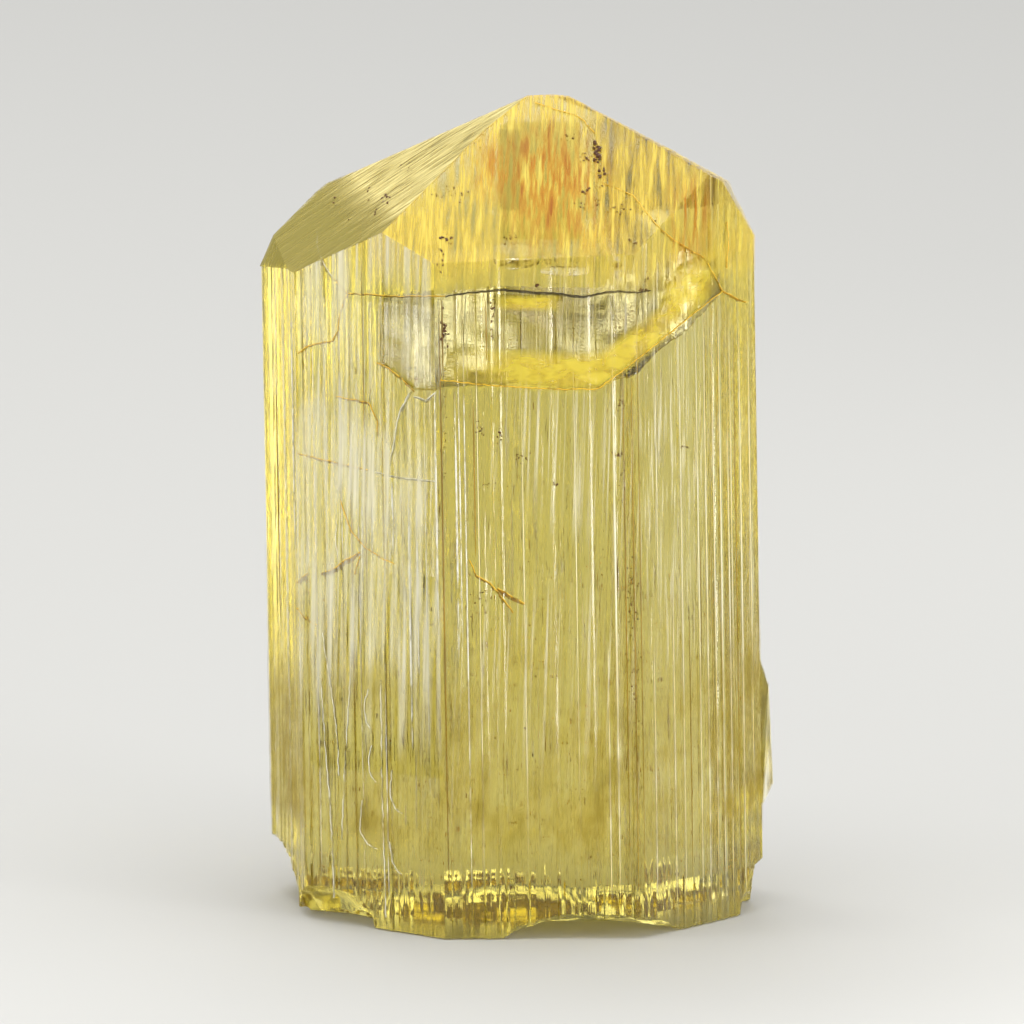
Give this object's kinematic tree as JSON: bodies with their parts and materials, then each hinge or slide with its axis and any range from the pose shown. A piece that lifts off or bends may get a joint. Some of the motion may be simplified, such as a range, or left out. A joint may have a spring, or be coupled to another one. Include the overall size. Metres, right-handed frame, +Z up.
{
  "type": "marialite crystal",
  "caption": "Clear yellow prismatic crystal with striated sides, a low pyramid on top and a broken, chipped base that it stands on",
  "frame": {"origin": "Centre of the bounding box in plan, at the level of the broken base that the crystal stands on", "axes": "+Z up along the crystal's length; -Y the main front face of the prism; +X to the right seen from the front, the side with the thin plate low down. The prism leans 2.9 degrees to -X on its broken base"},
  "size_m": [0.0214, 0.0178, 0.0338],
  "materials": {
    "clear_yellow_crystal": "clear honey yellow crystal, glassy lustre, fine striations along the prism, inner cracks and rusty stains near the top"
  },
  "bodies": {
    "root": {"crystal": "clear_yellow_crystal"}
  },
  "joints": []
}
